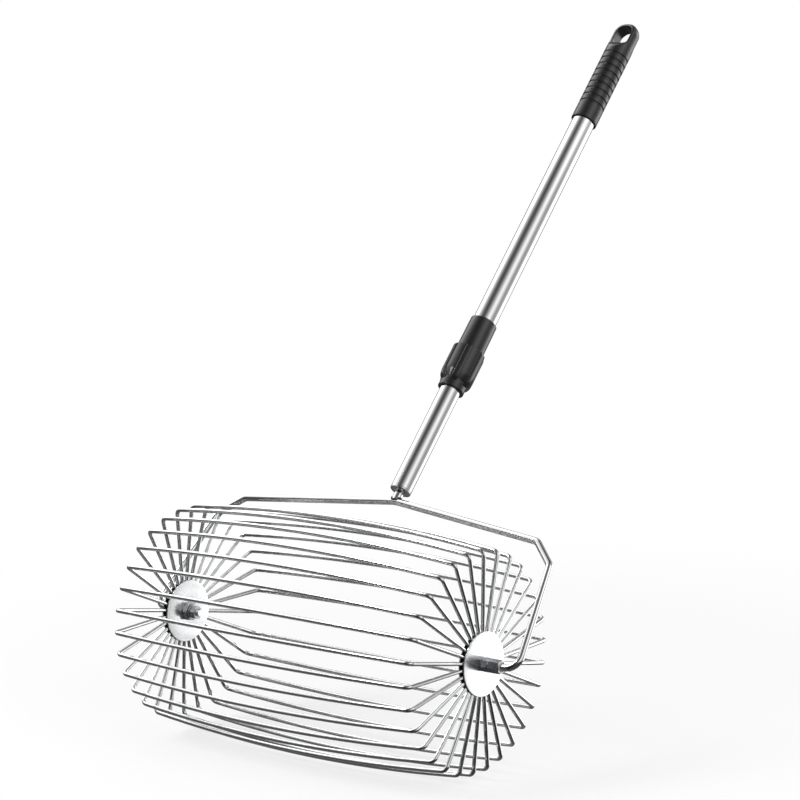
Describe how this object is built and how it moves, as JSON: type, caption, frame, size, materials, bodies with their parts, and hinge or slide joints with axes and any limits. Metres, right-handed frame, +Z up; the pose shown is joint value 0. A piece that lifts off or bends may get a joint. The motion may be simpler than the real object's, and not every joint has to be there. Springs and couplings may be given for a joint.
{
  "type": "tennis ball picker",
  "caption": "A rolling wire cage on a bent rod yoke with a telescopic twist-lock handle, for picking up tennis balls.",
  "frame": {"origin": "On the ground, at the middle of the whole picker's footprint.", "axes": "+X runs along the cage's axle, to the right hub. +Z is up. The handle leans towards +Y, and the cage is on the -Y side."},
  "size_m": [0.6478, 0.9116, 0.9527],
  "materials": {
    "wire_steel": "drawn wire, bright plated",
    "plate_steel": "polished sheet",
    "boss_steel": "machined hexagon bar, bright",
    "fastener_steel": "zinc plated",
    "rod_steel": "bent round bar, bright plated",
    "tube_chrome": "polished tube",
    "black_plastic": "moulded, satin",
    "bush_plastic": "moulded, natural white",
    "grip_plastic": "moulded soft plastic, satin"
  },
  "bodies": {
    "yoke": {"yoke_rod": "rod_steel", "axle_washer_right": "fastener_steel", "axle_washer_left": "fastener_steel", "axle_nut_right": "fastener_steel", "axle_nut_left": "fastener_steel", "neck_stud": "rod_steel", "foot_plug": "black_plastic", "lower_tube": "tube_chrome", "tube_guide": "bush_plastic"},
    "basket": {"basket_wire_01": "wire_steel", "basket_wire_02": "wire_steel", "basket_wire_03": "wire_steel", "basket_wire_04": "wire_steel", "basket_wire_05": "wire_steel", "basket_wire_06": "wire_steel", "basket_wire_07": "wire_steel", "basket_wire_08": "wire_steel", "basket_wire_09": "wire_steel", "basket_wire_10": "wire_steel", "basket_wire_11": "wire_steel", "basket_wire_12": "wire_steel", "basket_wire_13": "wire_steel", "basket_wire_14": "wire_steel", "basket_wire_15": "wire_steel", "basket_wire_16": "wire_steel", "basket_wire_17": "wire_steel", "basket_wire_18": "wire_steel", "basket_wire_19": "wire_steel", "basket_wire_20": "wire_steel", "basket_wire_21": "wire_steel", "basket_wire_22": "wire_steel", "basket_wire_23": "wire_steel", "basket_wire_24": "wire_steel", "basket_wire_25": "wire_steel", "basket_wire_26": "wire_steel", "basket_wire_27": "wire_steel", "basket_wire_28": "wire_steel", "basket_wire_29": "wire_steel", "basket_wire_30": "wire_steel", "end_plate_right": "plate_steel", "end_plate_left": "plate_steel", "clamp_plate_right": "plate_steel", "clamp_plate_left": "plate_steel", "plate_spacer_right": "fastener_steel", "plate_spacer_left": "fastener_steel", "hub_boss_right": "boss_steel", "hub_boss_left": "boss_steel", "hub_nut_right": "fastener_steel", "hub_nut_left": "fastener_steel", "axle_bush_right": "bush_plastic", "axle_bush_left": "bush_plastic"},
    "upper_handle": {"upper_tube": "tube_chrome", "lock_body": "black_plastic", "lock_collet": "bush_plastic", "hand_grip": "grip_plastic"},
    "lock_sleeve": {"twist_sleeve": "black_plastic"}
  },
  "joints": [
    {"name": "basket_roll", "type": "hinge", "parent": "yoke", "child": "basket", "pos_m": [0, -0.28869, 0.16618], "axis": [1, 0, 0], "continuous": true},
    {"name": "handle_slide", "type": "slide", "parent": "yoke", "child": "upper_handle", "axis": [0, 0.6871, 0.7266], "range_m": [-0.16, 0.28]},
    {"name": "lock_twist", "type": "hinge", "parent": "upper_handle", "child": "lock_sleeve", "pos_m": [0, 0.0205, 0.49314], "axis": [0, 0.6871, 0.7266], "range_deg": [0, 90]}
  ]
}
